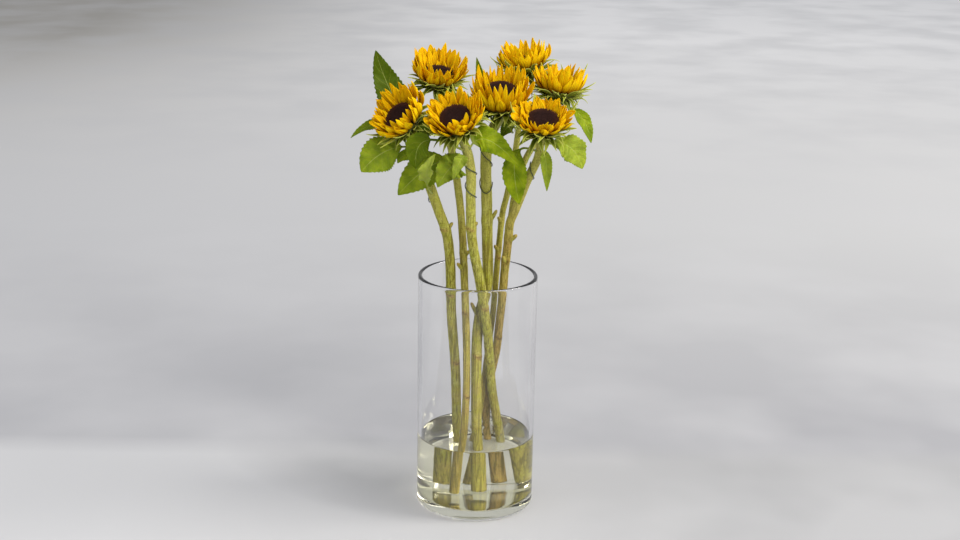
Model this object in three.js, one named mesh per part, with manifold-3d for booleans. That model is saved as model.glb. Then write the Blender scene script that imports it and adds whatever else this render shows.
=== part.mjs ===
// Seven sunflowers standing in a clear glass cylinder vase with water in it.
// Millimetres, +Z up. The origin is the middle of the vase's flat foot, and -Y is the front.

import * as THREE from 'three';
import { mergeVertices } from 'three/addons/utils/BufferGeometryUtils.js';
import Module from 'manifold-3d';

const wasm = await Module();
wasm.setup();

// The vase and its water
const VASE_RADIUS = 75;
const VASE_HEIGHT = 305;
const VASE_WALL = 5;
const VASE_BASE = 12;
const VASE_SIDES = 32;
const WATER_LEVEL = 92;

// The clearance between neighbouring pieces
const GAP = 0.3;

// One flower head, in its own frame: +Z is the way it faces, and z = 0 is the plane of the petal roots
const DISC_RADIUS = 17.6;
const CUP_RADIUS = 20;
const CUP_DEPTH = 17;
const RING_INNER = 18.2;
const RING_OUTER = 20.4;
const RING_HEIGHT = 5;
const PETALS_PER_LAYER = 12;
const RING_SIDES = 18;
const PETAL_WIDTH = 10.6;
const PETAL_THICKNESS = 0.9;
const BRACTS_PER_HEAD = 11;
const BRACT_LENGTH = 26;
const SHORT_BRACT = 9;
const BRACT_CLEARANCE = 0.6;
const BRACT_WIDTH = 7.5;
const BRACT_THICKNESS = 0.9;

// Stems, leaves, wires and torn leaf stalks
const STEM_SIDES = 8;
const LEAF_THICKNESS = 0.8;
const STALK_HALF_WIDTH = 1;
const WIRE_RADIUS = 0.6;
const STUB_RADIUS = 2.6;

// Each flower: the root plane of its head (at), the way it faces (facing), how far the petal tips
// stand out (spread) and up (rise), how high the disc is, and its stem from the foot upwards.
const FLOWERS = [
  {
    name: 'left', seed: 11, at: [-92, -25, 502], facing: [-0.56, -0.52, 0.645],
    spread: 36, rise: 31, disc: 14, stemRadius: 6.2,
    stem: [[-23, 48, 6], [-25, 35, 92], [-27.5, 27, 170], [-33.5, 20, 250], [-34.5, 10, 304],
      [-36.5, 6, 332], [-40.5, 1, 359], [-50, -5, 387], [-59, -10, 414], [-72, -14, 452],
      [-82, -16, 492]],
  },
  {
    name: 'back_left', seed: 23, at: [-52.5, 28, 546], facing: [0.09, -0.32, 0.943],
    spread: 36, rise: 31, disc: 10, stemRadius: 4.7,
    stem: [[-19, 6, 6], [-14.5, 1, 92], [-12.2, 0, 150], [-12.7, 1, 203], [-15.4, 5, 265],
      [-17.5, 9, 304], [-19.7, 13, 343], [-23, 16, 382], [-29, 19, 425], [-38, 23, 470],
      [-47, 29, 502], [-55, 34, 527]],
  },
  {
    name: 'front', seed: 37, at: [-28, -50, 505.5], facing: [-0.2, -0.57, 0.797],
    spread: 37, rise: 28, disc: 14, stemRadius: 6,
    stem: [[35, 50, 6], [29, 37, 92], [21, 29, 140], [14, 10, 220], [7, -1, 269], [0, -10, 310],
      [-5.6, -16, 338], [-9, -22, 366], [-10.3, -30, 407], [-10.6, -37, 442], [-15, -41, 468],
      [-24, -41, 490]],
  },
  {
    name: 'centre', seed: 41, at: [24, -2, 520], facing: [-0.02, -0.34, 0.94],
    spread: 34, rise: 39, disc: 23.5, stemRadius: 6.8,
    stem: [[4, 21, 6], [1.5, 17, 92], [0.5, 17, 140], [0, 17, 198], [1.5, 18, 231], [5.8, 18, 257],
      [11, 16, 279], [12.3, 14, 303], [11, 12, 346], [9.3, 8, 398], [7.4, 5, 443], [8.5, 3, 469],
      [15, 3, 488], [23, 4, 503]],
  },
  {
    name: 'back', seed: 53, at: [53.5, 61, 556], facing: [-0.13, -0.03, 0.991],
    spread: 34, rise: 32, disc: 12, stemRadius: 3.8,
    stem: [[-6, 50, 6], [4, 40, 92], [10, 35, 148], [15.6, 36, 200], [20.8, 38, 246], [23.7, 37, 297],
      [26.7, 39, 339], [30.3, 42, 376], [35, 44, 396], [43, 50, 440], [48.4, 55, 484],
      [53, 60, 536]],
  },
  {
    name: 'right', seed: 67, at: [74, -45, 504], facing: [0.02, -0.42, 0.907],
    spread: 36, rise: 22, disc: 12, stemRadius: 5.3,
    stem: [[17, 58, 6], [14, 49, 92], [18, 41.5, 148], [26, 34, 194], [28.3, 28, 225], [31.2, 20, 262],
      [32.8, 16, 290], [34.5, 12, 318], [37, 6, 346], [39, -1, 373], [44, -5, 387], [54, -13, 417],
      [61, -20, 437], [70, -30, 461], [73, -37, 488]],
  },
  {
    name: 'back_right', seed: 79, at: [96.5, 24, 533.5], facing: [0.07, -0.02, 0.997],
    spread: 34, rise: 31, disc: 12, stemRadius: 3.8, forksFrom: 'right',
    stem: [[38, 0, 365], [42.5, 4, 399], [47.6, 10, 424], [56, 16, 448], [66.6, 20, 467],
      [83, 24, 498], [97, 26, 519]],
  },
];

// Torn leaf stalks and the small side shoots left on the stems: from a point in the stem outwards
const STUBS = [
  { on: 'left', from: [-41, 0, 359], to: [-32.5, -3, 370] },
  { on: 'left', from: [-34, 11, 276], to: [-43, 4, 283] },
  { on: 'back_left', from: [-18, 11, 325], to: [-11.5, 5, 332] },
  { on: 'back_left', from: [-18, 9, 307], to: [-26, 4, 316] },
  { on: 'front', from: [-11, -22, 367], to: [-2, -26, 377] },
  { on: 'centre', from: [0, 16, 247], to: [-8, 9, 263] },
  { on: 'centre', from: [4, 15, 247], to: [6, 8, 262] },
  { on: 'centre', from: [12, 12, 368], to: [22, 9, 384] },
  { on: 'back', from: [29, 41, 360], to: [24.5, 33, 369] },
  { on: 'back', from: [26, 38, 325], to: [20.5, 33, 332] },
  { on: 'right', from: [39, 4, 348], to: [47.5, 0, 355] },
  { on: 'right', from: [36, 10, 318], to: [30, 3, 326] },
];

// Each leaf: which stem it grows from, its stalk's foot (root), the point that its midrib bends
// towards (bend), its tip, its greatest width, the way its upper side faces, how far it folds up
// along the midrib, and the shares of its length taken by the stalk and, in the blade, by the part
// before the widest place (peak). A steep stalk starts further off its stem, by clear gaps.
const LEAVES = [
  {
    name: 'upper_left', on: 'left', root: [-78, -9, 484], bend: [-117, 34, 527], tip: [-129, 20, 580],
    width: 38, face: [0.1, -1, 0.2], fold: 0.15, stalk: 0.12, peak: 0.33,
  },
  {
    name: 'far_left', on: 'left', root: [-80, -9, 474], bend: [-124, 28, 505], tip: [-158, -4, 476],
    width: 18, face: [-0.2, -0.8, 1], fold: 0.35, stalk: 0.2, peak: 0.33,
  },
  {
    name: 'broad_left', on: 'left', root: [-84, -19, 468], bend: [-116, -26, 475],
    tip: [-143, -32, 440], width: 44, face: [0, -1, 0.25], fold: 0.08, stalk: 0.2, peak: 0.52,
  },
  {
    name: 'small_left', on: 'left', root: [-80, -20, 458], bend: [-94, -28, 466],
    tip: [-100, -16, 448], width: 14, face: [0.2, -1, 0.1], fold: 0.3, stalk: 0.15, peak: 0.33, clear: 3,
  },
  {
    name: 'folded', on: 'front', root: [-22, -46, 471], bend: [-82, -58, 507], tip: [-76, -50, 449],
    width: 31, face: [-0.1, -1, 0.3], fold: 0.4, stalk: 0.4, peak: 0.45, clear: 3,
  },
  {
    name: 'low_left', on: 'front', root: [-22, -38, 460], bend: [-56, -24, 462],
    tip: [-99, -28, 411], width: 42, face: [0, -1, 0.35], fold: 0.1, stalk: 0.3, peak: 0.45,
  },
  {
    name: 'curled', on: 'left', root: [-57, -20, 410], bend: [-72, -78, 444], tip: [-53, -62, 470],
    width: 15, face: [-0.3, -1, 0.4], fold: 0.5, stalk: 0.3, peak: 0.45, clear: 3,
  },
  {
    name: 'middle', on: 'front', root: [-19, -46, 452], bend: [-34, -60, 466], tip: [-50, -56, 428],
    width: 34, face: [0, -1, 0.2], fold: 0.2, stalk: 0.2, peak: 0.33, clear: 3,
  },
  {
    name: 'small_middle', on: 'front', root: [-16, -44, 460], bend: [-20, -68, 479],
    tip: [-32, -66, 440], width: 15, face: [0, -1, 0.3], fold: 0.25, stalk: 0.25, peak: 0.4,
  },
  {
    name: 'centre_right', on: 'front', root: [-10, -48, 474], bend: [1, -58, 509],
    tip: [48, -46, 452], width: 31, face: [0, -1, 0.3], fold: 0.12, stalk: 0.15, peak: 0.33, clear: 3,
  },
  {
    name: 'long_right', on: 'right', root: [64, -38, 469], bend: [28, -36, 490], tip: [49, -28, 402],
    width: 30, face: [0, -1, 0.1], fold: 0.25, stalk: 0.3, peak: 0.6,
  },
  {
    name: 'hanging_right', on: 'right', root: [74, -44, 471], bend: [81, -52, 475],
    tip: [81, -50, 424], width: 14, face: [0, -1, 0.1], fold: 0.4, stalk: 0.2, peak: 0.45,
  },
  {
    name: 'broad_right', on: 'right', root: [81, -39, 478], bend: [112, -50, 491],
    tip: [123, -44, 451], width: 33, face: [0.1, -0.8, 0.6], fold: 0.12, stalk: 0.1, peak: 0.55,
  },
  {
    name: 'far_right', on: 'back_right', root: [103, 20, 510], bend: [126, 14, 519],
    tip: [136, 4, 473], width: 18, face: [0.4, -0.9, 0.3], fold: 0.2, stalk: 0.3, peak: 0.5,
  },
  {
    name: 'upright', on: 'centre', root: [15, 10, 494], bend: [2, 32, 530], tip: [-6, 24, 573],
    width: 14, face: [0, -1, 0.1], fold: 0.3, stalk: 0.3, peak: 0.33,
  },
  {
    name: 'under_centre', on: 'centre', root: [9, -3, 488], bend: [6, -14, 500], tip: [1, -22, 486],
    width: 14, face: [0, -1, 0.6], fold: 0.2, stalk: 0.25, peak: 0.33, clear: 3,
  },
  {
    name: 'behind_centre', on: 'back', root: [44, 49, 478], bend: [36, 40, 495], tip: [26, 34, 472],
    width: 20, face: [0, -1, 0.3], fold: 0.2, stalk: 0.25, peak: 0.33,
  },
  {
    name: 'behind_left', on: 'back_left', root: [-47, 20, 478], bend: [-64, 12, 494],
    tip: [-92, 6, 488], width: 26, face: [0, -0.8, 0.7], fold: 0.15, stalk: 0.25, peak: 0.33, clear: 3,
  },
];

// Each florist's wire: the stem it is wound round, between which heights, its turns, and how far a
// level lowest half turn hangs down in front. One on a bent stem stands further off, by clear gaps.
const WIRES = [
  { name: 'left', on: 'left', low: 401, high: 413, turns: 0.45, phase: 0.35, hang: 0 },
  { name: 'front', on: 'front', low: 411, high: 456, turns: 1.5, phase: 3.1, hang: 0 },
  { name: 'centre', on: 'centre', low: 421, high: 466, turns: 1.5, phase: 3.1, hang: 12 },
  { name: 'right', on: 'right', low: 425, high: 453, turns: 0.75, phase: 4.7, hang: 0, clear: 6 },
];

const glass = new THREE.MeshStandardMaterial({
  color: '#dfe8e8', roughness: 0.03, metalness: 0, transparent: true, opacity: 0.3,
});
const water = new THREE.MeshStandardMaterial({
  color: '#d9e2de', roughness: 0.02, metalness: 0, transparent: true, opacity: 0.4,
});
const stemGreen = new THREE.MeshStandardMaterial({ color: '#8f9a3c', roughness: 0.6, metalness: 0 });
const leafGreen = new THREE.MeshStandardMaterial({ color: '#58751a', roughness: 0.55, metalness: 0 });
const petalGold = new THREE.MeshStandardMaterial({ color: '#eeb006', roughness: 0.6, metalness: 0 });
const floretBrown = new THREE.MeshStandardMaterial({ color: '#2e1a1a', roughness: 0.85, metalness: 0 });
const wireGreen = new THREE.MeshStandardMaterial({ color: '#25301f', roughness: 0.5, metalness: 0.3 });

// A fixed pseudo-random number from 0 to 1 for a whole number
function draw(n) {
  const wave = Math.sin(n * 12.9898 + 78.233) * 43758.5453;
  return wave - Math.floor(wave);
}

// A closed mesh as a solid that can be joined and cut
function toSolid(geometry) {
  const bare = geometry.clone();
  bare.deleteAttribute('normal');
  bare.deleteAttribute('uv');
  const merged = mergeVertices(bare, 1e-4);
  return new wasm.Manifold(new wasm.Mesh({
    numProp: 3,
    vertProperties: new Float32Array(merged.attributes.position.array),
    triVerts: new Uint32Array(merged.index.array),
  }));
}

// A solid as a mesh geometry
function toGeometry(solid) {
  const data = solid.getMesh();
  const geometry = new THREE.BufferGeometry();
  geometry.setAttribute('position', new THREE.BufferAttribute(new Float32Array(data.vertProperties), 3));
  geometry.setIndex(new THREE.BufferAttribute(new Uint32Array(data.triVerts), 1));
  geometry.computeVertexNormals();
  return geometry;
}

function join(solids) {
  return solids.reduce((whole, next) => whole.add(next));
}

// A closed surface from rings of points, all with the same count, and a flat cap or a point at each
// end. A ring of one point closes its end without a cap.
function loft(rings) {
  const positions = rings.flat().flatMap((p) => p.toArray());
  const faces = [];
  const start = [];
  let count = 0;
  for (const ring of rings) {
    start.push(count);
    count += ring.length;
  }
  for (let i = 0; i < rings.length - 1; i += 1) {
    const here = rings[i].length;
    const next = rings[i + 1].length;
    const sides = Math.max(here, next);
    for (let k = 0; k < sides; k += 1) {
      const k2 = (k + 1) % sides;
      if (here > 1) {
        faces.push(start[i] + k, start[i] + k2, start[i + 1] + (next > 1 ? k2 : 0));
      }
      if (next > 1) {
        faces.push(start[i] + (here > 1 ? k : 0), start[i + 1] + k2, start[i + 1] + k);
      }
    }
  }
  const last = rings.length - 1;
  for (let k = 1; k < rings[0].length - 1; k += 1) {
    faces.push(start[0], start[0] + k + 1, start[0] + k);
  }
  for (let k = 1; k < rings[last].length - 1; k += 1) {
    faces.push(start[last], start[last] + k, start[last] + k + 1);
  }
  const geometry = new THREE.BufferGeometry();
  geometry.setAttribute('position', new THREE.Float32BufferAttribute(positions, 3));
  geometry.setIndex(faces);
  return geometry;
}

// A round bar along a curve
function bar(curve, radius, sides, steps) {
  const section = new THREE.Shape();
  for (let k = 0; k < sides; k += 1) {
    const angle = (2 * Math.PI * k) / sides;
    const x = radius * Math.cos(angle);
    const y = radius * Math.sin(angle);
    if (k === 0) {
      section.moveTo(x, y);
    } else {
      section.lineTo(x, y);
    }
  }
  section.closePath();
  return new THREE.ExtrudeGeometry(section, { steps, bevelEnabled: false, extrudePath: curve });
}

const point = (p) => new THREE.Vector3(...p);

// The frame of a flower head
function headMatrix(flower) {
  const facing = point(flower.facing).normalize();
  const turn = new THREE.Quaternion().setFromUnitVectors(new THREE.Vector3(0, 0, 1), facing);
  return new THREE.Matrix4().compose(point(flower.at), turn, new THREE.Vector3(1, 1, 1));
}

// The middle line of a stem, which ends inside the cup of its head
function stemCurve(flower) {
  const facing = point(flower.facing).normalize();
  const points = flower.stem.map(point);
  points.push(point(flower.at).addScaledVector(facing, -CUP_DEPTH / 2));
  return new THREE.CatmullRomCurve3(points);
}

// How many straight lengths a stem is built from
function stemSteps(flower) {
  return Math.round(1.2 * flower.stem.length);
}

// A blade that stands out from the head's axis at an angle: reach and height give its path, and
// half its width at each step tapers to a point at the tip.
function blade(angle, path, halfWidths, thickness) {
  const out = new THREE.Vector3(Math.cos(angle), Math.sin(angle), 0);
  const side = new THREE.Vector3(-Math.sin(angle), Math.cos(angle), 0);
  const up = new THREE.Vector3(0, 0, 1);
  const at = (reach, height) => out.clone().multiplyScalar(reach).addScaledVector(up, height);
  const rings = [];
  path.forEach(([reach, height], i) => {
    if (i === path.length - 1) {
      rings.push([at(reach, height)]);
      return;
    }
    const [reach2, height2] = path[i + 1];
    const slope = Math.atan2(height2 - height, reach2 - reach);
    const half = thickness / 2;
    const inner = at(reach - half * Math.sin(slope), height + half * Math.cos(slope));
    const outer = at(reach + half * Math.sin(slope), height - half * Math.cos(slope));
    const w = halfWidths[i];
    rings.push([
      outer.clone().addScaledVector(side, -w),
      outer.clone().addScaledVector(side, w),
      inner.clone().addScaledVector(side, w),
      inner.clone().addScaledVector(side, -w),
    ]);
  });
  return loft(rings);
}

// The ray petals of one head: two layers round a low ring that joins their roots
function petalRing(flower) {
  const ring = new THREE.LatheGeometry([
    new THREE.Vector2(RING_INNER, GAP),
    new THREE.Vector2(RING_OUTER, GAP),
    new THREE.Vector2(RING_OUTER, RING_HEIGHT),
    new THREE.Vector2(RING_INNER, RING_HEIGHT),
    new THREE.Vector2(RING_INNER, GAP),
  ], RING_SIDES);
  ring.rotateX(Math.PI / 2);
  const solids = [toSolid(ring)];
  const root = (RING_INNER + RING_OUTER) / 2;
  for (let layer = 0; layer < 2; layer += 1) {
    for (let k = 0; k < PETALS_PER_LAYER; k += 1) {
      const n = flower.seed * 100 + layer * 50 + k;
      const angle = (2 * Math.PI * (k + 0.5 * layer + 0.25 * (draw(n) - 0.5))) / PETALS_PER_LAYER;
      const reach = flower.spread - root - (layer === 0 ? 5 : 0) + 3 * (draw(n + 1000) - 0.5);
      const height = flower.rise * (layer === 0 ? 1 : 0.88) * (0.88 + 0.24 * draw(n + 2000));
      const start = root + (layer === 0 ? -0.3 : 0.3);
      const path = [0, 0.64, 1].map((t) => [start + reach * t ** 1.5, 1.5 + height * t]);
      const w = (PETAL_WIDTH / 2) * (0.85 + 0.3 * draw(n + 3000));
      solids.push(toSolid(blade(angle, path, [0.6 * w, w], PETAL_THICKNESS)));
    }
  }
  return toGeometry(join(solids));
}

// The dark disc: a low cushion whose top is raised in crossing spirals of florets
function discGeometry(flower) {
  const sides = 18;
  const bands = [1, 0.86, 0.6, 0.3];
  const rings = [];
  const ringAt = (radius, height, relief) => Array.from({ length: sides }, (_, k) => {
    const angle = (2 * Math.PI * k) / sides;
    const bump = relief * Math.cos(6 * angle + radius * 1.1);
    return new THREE.Vector3(radius * Math.cos(angle), radius * Math.sin(angle), height + bump);
  });
  rings.push([new THREE.Vector3(0, 0, GAP)]);
  rings.push(ringAt(DISC_RADIUS, GAP, 0));
  for (const band of bands) {
    const crown = flower.disc - 2.5 * band ** 4 - 1.2 * (1 - band) ** 2;
    rings.push(ringAt(DISC_RADIUS * band, crown, 0.5));
  }
  rings.push([new THREE.Vector3(0, 0, flower.disc - 1.2)]);
  return loft(rings);
}

// One bract: it springs from the cup below the rim, and its tip bends outwards
function bract(angle, length, low) {
  const lift = low ? 0.1 : 0.62;
  const path = [0, 0.5, 1].map((t) => [
    0.8 * CUP_RADIUS + length * t * (low ? 0.95 : 0.85),
    -6 + length * (lift * t - 0.25 * t ** 2),
  ]);
  const w = BRACT_WIDTH / 2;
  return toSolid(blade(angle, path, [w, 0.65 * w], BRACT_THICKNESS));
}

// The green cup under a head, with its pointed bracts. A bract that would meet a leaf or another
// flower is short, and one that has no room at all is left out.
function cupSolids(flower, neighbours) {
  const cup = new THREE.LatheGeometry([
    new THREE.Vector2(0, -CUP_DEPTH),
    new THREE.Vector2(flower.stemRadius + 1, -CUP_DEPTH),
    new THREE.Vector2(0.62 * CUP_RADIUS, -0.72 * CUP_DEPTH),
    new THREE.Vector2(0.93 * CUP_RADIUS, -0.35 * CUP_DEPTH),
    new THREE.Vector2(CUP_RADIUS, -1.5),
    new THREE.Vector2(CUP_RADIUS - 1, 0),
    new THREE.Vector2(0, 0),
  ], 16);
  cup.rotateX(Math.PI / 2);
  const matrix = headMatrix(flower).toArray();
  const solids = [toSolid(cup).transform(matrix)];
  for (let k = 0; k < BRACTS_PER_HEAD; k += 1) {
    const n = flower.seed * 100 + 70 + k;
    const low = k % 2 === 1;
    const angle = (2 * Math.PI * (k + 0.3 * (draw(n) - 0.5))) / BRACTS_PER_HEAD;
    const full = BRACT_LENGTH * (0.88 + 0.2 * draw(n + 1000) - (low ? 0.1 : 0));
    const tries = [full, SHORT_BRACT].map((length) => bract(angle, length, low).transform(matrix));
    const isClear = (solid) => neighbours.every((other) => solid.minGap(other, 1) > BRACT_CLEARANCE);
    const fitting = tries.find(isClear);
    if (fitting) {
      solids.push(fitting);
    }
  }
  return solids;
}

// A torn leaf stalk: a short pointed stump
function stub(entry) {
  const from = point(entry.from);
  const to = point(entry.to);
  const cone = new THREE.ConeGeometry(STUB_RADIUS, from.distanceTo(to), 5);
  const turn = new THREE.Quaternion()
    .setFromUnitVectors(new THREE.Vector3(0, 1, 0), to.clone().sub(from).normalize());
  cone.applyQuaternion(turn);
  cone.translate(...from.add(to).multiplyScalar(0.5).toArray());
  return toSolid(cone);
}

// The part of a flower that is one green body: its stem with any torn stalks, its cup and its bracts
function greenSolid(flower, neighbours) {
  const solids = [toSolid(bar(stemCurve(flower), flower.stemRadius, STEM_SIDES, stemSteps(flower)))];
  solids.push(...cupSolids(flower, neighbours));
  for (const entry of STUBS.filter((e) => e.on === flower.name)) {
    solids.push(stub(entry));
  }
  return join(solids);
}

// Everything below the vase's inner floor, which the cut feet of the stems stand on
function underFloor() {
  const slab = new THREE.BoxGeometry(200, 200, 40);
  slab.translate(0, 0, VASE_BASE + GAP - 20);
  return toSolid(slab);
}

function vaseGeometry() {
  const inner = VASE_RADIUS - VASE_WALL;
  const profile = [
    [0, 0], [VASE_RADIUS - 2, 0], [VASE_RADIUS, 2], [VASE_RADIUS, VASE_HEIGHT - 1],
    [VASE_RADIUS - 1, VASE_HEIGHT], [inner + 1, VASE_HEIGHT], [inner, VASE_HEIGHT - 1],
    [inner, VASE_BASE + 2], [inner - 2, VASE_BASE], [0, VASE_BASE],
  ];
  const vase = new THREE.LatheGeometry(profile.map((p) => new THREE.Vector2(...p)), VASE_SIDES);
  vase.rotateX(Math.PI / 2);
  return vase;
}

// The water: a plain cylinder with a hole round every stem that stands in it
function waterGeometry() {
  const inner = VASE_RADIUS - VASE_WALL - GAP;
  const bottom = VASE_BASE + GAP;
  const body = new THREE.LatheGeometry([
    new THREE.Vector2(0, bottom),
    new THREE.Vector2(inner - 2, bottom),
    new THREE.Vector2(inner, bottom + 2),
    new THREE.Vector2(inner, WATER_LEVEL),
    new THREE.Vector2(0, WATER_LEVEL),
  ], VASE_SIDES);
  body.rotateX(Math.PI / 2);
  let solid = toSolid(body);
  for (const flower of FLOWERS.filter((f) => !f.forksFrom)) {
    const foot = new THREE.CatmullRomCurve3(flower.stem.slice(0, 3).map(point));
    solid = solid.subtract(toSolid(bar(foot, flower.stemRadius + 3 * GAP, STEM_SIDES, 4)));
  }
  return toGeometry(solid);
}

// The point of a stem's middle line that is nearest to a given point
function nearestOnStem(flower, target) {
  const points = stemCurve(flower).getSpacedPoints(stemSteps(flower));
  const lines = points.slice(1).map((p, i) => new THREE.Line3(points[i], p));
  const feet = lines.map((line) => line.closestPointToPoint(target, true, new THREE.Vector3()));
  return feet.reduce((best, p) => (p.distanceTo(target) < best.distanceTo(target) ? p : best));
}

// A leaf: a thin blade along a bent midrib, with toothed edges, folded up along the midrib
function leafGeometry(leaf, index) {
  const flower = FLOWERS.find((f) => f.name === leaf.on);
  const seat = nearestOnStem(flower, point(leaf.root));
  const outward = point(leaf.root).sub(seat).normalize();
  const root = seat.addScaledVector(outward, flower.stemRadius + (leaf.clear ?? 2) * GAP);
  const rib = new THREE.QuadraticBezierCurve3(root, point(leaf.bend), point(leaf.tip));
  const face = point(leaf.face).normalize();
  const steps = Math.max(8, Math.min(12, Math.round(rib.getLength() / 6)));
  const rings = [];
  for (let i = 0; i <= steps; i += 1) {
    const t = i / steps;
    const middle = rib.getPoint(t);
    if (i === steps) {
      rings.push([middle]);
      break;
    }
    const side = rib.getTangent(t).cross(face).normalize();
    const up = side.clone().cross(rib.getTangent(t)).normalize();
    const along = Math.max(0, (t - leaf.stalk) / (1 - leaf.stalk));
    const swell = Math.sin(Math.PI * along ** (Math.log(0.5) / Math.log(leaf.peak))) ** 0.8;
    const tooth = i % 2 ? 1.06 : 0.94;
    const half = Math.max(STALK_HALF_WIDTH, (leaf.width / 2) * swell * tooth);
    const wave = 0.06 * half * Math.sin(9 * t + index);
    const edge = (sign) => middle.clone()
      .addScaledVector(side, sign * half)
      .addScaledVector(up, leaf.fold * half + sign * wave);
    const line = [edge(1), middle, edge(-1)];
    const shift = up.multiplyScalar(LEAF_THICKNESS / 2);
    rings.push([
      ...line.map((p) => p.clone().sub(shift)),
      ...line.reverse().map((p) => p.clone().add(shift)),
    ]);
  }
  return loft(rings);
}

// The share of a rising curve's length at which it reaches a height
function shareAtHeight(curve, height) {
  let low = 0;
  let high = 1;
  for (let i = 0; i < 30; i += 1) {
    const middle = (low + high) / 2;
    if (curve.getPointAt(middle).z < height) {
      low = middle;
    } else {
      high = middle;
    }
  }
  return low;
}

// A thin wire wound round a stretch of a stem
function wireGeometry(wire) {
  const flower = FLOWERS.find((f) => f.name === wire.on);
  const stem = stemCurve(flower);
  const radius = flower.stemRadius + WIRE_RADIUS + (wire.clear ?? 4) * GAP;
  const steps = Math.round(wire.turns * 12);
  const low = shareAtHeight(stem, wire.low);
  const high = shareAtHeight(stem, wire.high);
  const level = wire.hang > 0 ? 0.5 : 0;
  const points = [];
  for (let i = 0; i <= steps; i += 1) {
    const turn = (wire.turns * i) / steps;
    const rise = Math.max(0, turn - level) / (wire.turns - level);
    const hang = turn < level ? wire.hang * Math.sin(2 * Math.PI * turn) : 0;
    const t = low + (high - low) * rise - hang / stem.getLength();
    const along = stem.getTangentAt(t);
    const side = new THREE.Vector3(0, -1, 0).cross(along).normalize();
    const front = along.clone().cross(side).normalize();
    const angle = wire.phase - 2 * Math.PI * turn;
    points.push(stem.getPointAt(t)
      .addScaledVector(side, radius * Math.cos(angle))
      .addScaledVector(front, radius * Math.sin(angle)));
  }
  return bar(new THREE.CatmullRomCurve3(points), WIRE_RADIUS, 4, steps);
}

const group = new THREE.Group();

function addMesh(name, geometry, material, matrix) {
  const mesh = new THREE.Mesh(geometry, material);
  mesh.name = name;
  if (matrix) {
    mesh.applyMatrix4(matrix);
  }
  group.add(mesh);
}

addMesh('vase', vaseGeometry(), glass);
addMesh('water', waterGeometry(), water);

const floor = underFloor();
const leaves = LEAVES.map((leaf, index) => leafGeometry(leaf, index));
const petals = FLOWERS.map(petalRing);
const neighbours = leaves.map(toSolid);
FLOWERS.forEach((flower, i) => {
  neighbours.push(toSolid(petals[i].clone().applyMatrix4(headMatrix(flower))));
});
FLOWERS.forEach((flower, i) => {
  if (!flower.forksFrom) {
    const branches = [flower, ...FLOWERS.filter((f) => f.forksFrom === flower.name)];
    const green = join(branches.map((f) => greenSolid(f, neighbours))).subtract(floor);
    neighbours.push(green);
    addMesh(`stem_${flower.name}`, toGeometry(green), stemGreen);
  }
  addMesh(`petals_${flower.name}`, petals[i], petalGold, headMatrix(flower));
  addMesh(`disc_${flower.name}`, discGeometry(flower), floretBrown, headMatrix(flower));
});
leaves.forEach((geometry, index) => {
  addMesh(`leaf_${LEAVES[index].name}`, geometry, leafGreen);
});
for (const wire of WIRES) {
  addMesh(`wire_${wire.name}`, wireGeometry(wire), wireGreen);
}

export default group;
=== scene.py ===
import math
from functools import partial

import bpy
import numpy as np
from mathutils import Matrix, Vector, noise


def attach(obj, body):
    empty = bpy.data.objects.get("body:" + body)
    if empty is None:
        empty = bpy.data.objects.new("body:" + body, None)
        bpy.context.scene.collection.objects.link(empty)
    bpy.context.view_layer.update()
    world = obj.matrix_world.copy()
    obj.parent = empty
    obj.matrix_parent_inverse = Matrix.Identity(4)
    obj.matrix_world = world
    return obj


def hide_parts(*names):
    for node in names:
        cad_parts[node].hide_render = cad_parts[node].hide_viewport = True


# Seven sunflowers in a clear glass cylinder of water. Sizes are in millimetres, in the part's own
# frame: the origin is the middle of the vase's foot, +Z is up, and -Y is the side that is seen.
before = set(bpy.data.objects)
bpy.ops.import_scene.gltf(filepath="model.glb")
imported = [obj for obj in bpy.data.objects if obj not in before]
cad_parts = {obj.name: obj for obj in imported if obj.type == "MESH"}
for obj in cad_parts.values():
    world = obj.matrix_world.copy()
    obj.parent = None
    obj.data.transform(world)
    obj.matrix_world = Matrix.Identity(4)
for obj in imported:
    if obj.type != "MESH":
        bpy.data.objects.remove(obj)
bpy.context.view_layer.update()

# The camera stands a little above the flowers and looks slightly down at them. Its place, tilt and
# lens follow from the ellipses that the vase's rim and foot draw in the picture.
MM = 0.001
LENS = 57.44
CAMERA_AT = Vector((0, -1843, 844.6)) * MM
PITCH = math.radians(16.18)
YAW = math.radians(0.077)
ROLL = math.radians(0.984)

forward = Vector((math.sin(YAW) * math.cos(PITCH), math.cos(YAW) * math.cos(PITCH), -math.sin(PITCH)))
level = Vector((math.cos(YAW), -math.sin(YAW), 0))
upright = level.cross(forward)
across = math.cos(ROLL) * level + math.sin(ROLL) * upright
upward = math.cos(ROLL) * upright - math.sin(ROLL) * level
camera = bpy.data.objects.new("camera", bpy.data.cameras.new("camera"))
camera.data.lens = LENS
axes = Matrix((across, upward, -forward)).transposed()
camera.matrix_world = Matrix.Translation(CAMERA_AT) @ axes.to_4x4()
bpy.context.collection.objects.link(camera)
bpy.context.scene.camera = camera
bpy.context.scene.view_settings.view_transform = "Standard"

# The vase is a cylinder of clear soda-lime glass, drawn by machine, with a thick pressed base, a
# rounded heel and a fire-polished rim. It is smooth all over, so only its edges catch the light.
VASE_RADIUS = 75
VASE_HEIGHT = 305
VASE_WALL = 5
VASE_BASE = 12
HEEL = 5
FLOOR_FILLET = 6
GLASS_TINT = "#ffffff"
GLASS_IOR = 1.46
LATHE_SIDES = 128
WALL_RINGS = 8
ROUNDING_STEPS = 10
LIP_STEPS = 12


def linear(hex_colour):
    """An sRGB hex colour as the linear colour that a shader takes."""
    parts = [int(hex_colour[i:i + 2], 16) / 255 for i in (1, 3, 5)]
    return [c / 12.92 if c <= 0.04045 else ((c + 0.055) / 1.055) ** 2.4 for c in parts] + [1]


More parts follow.
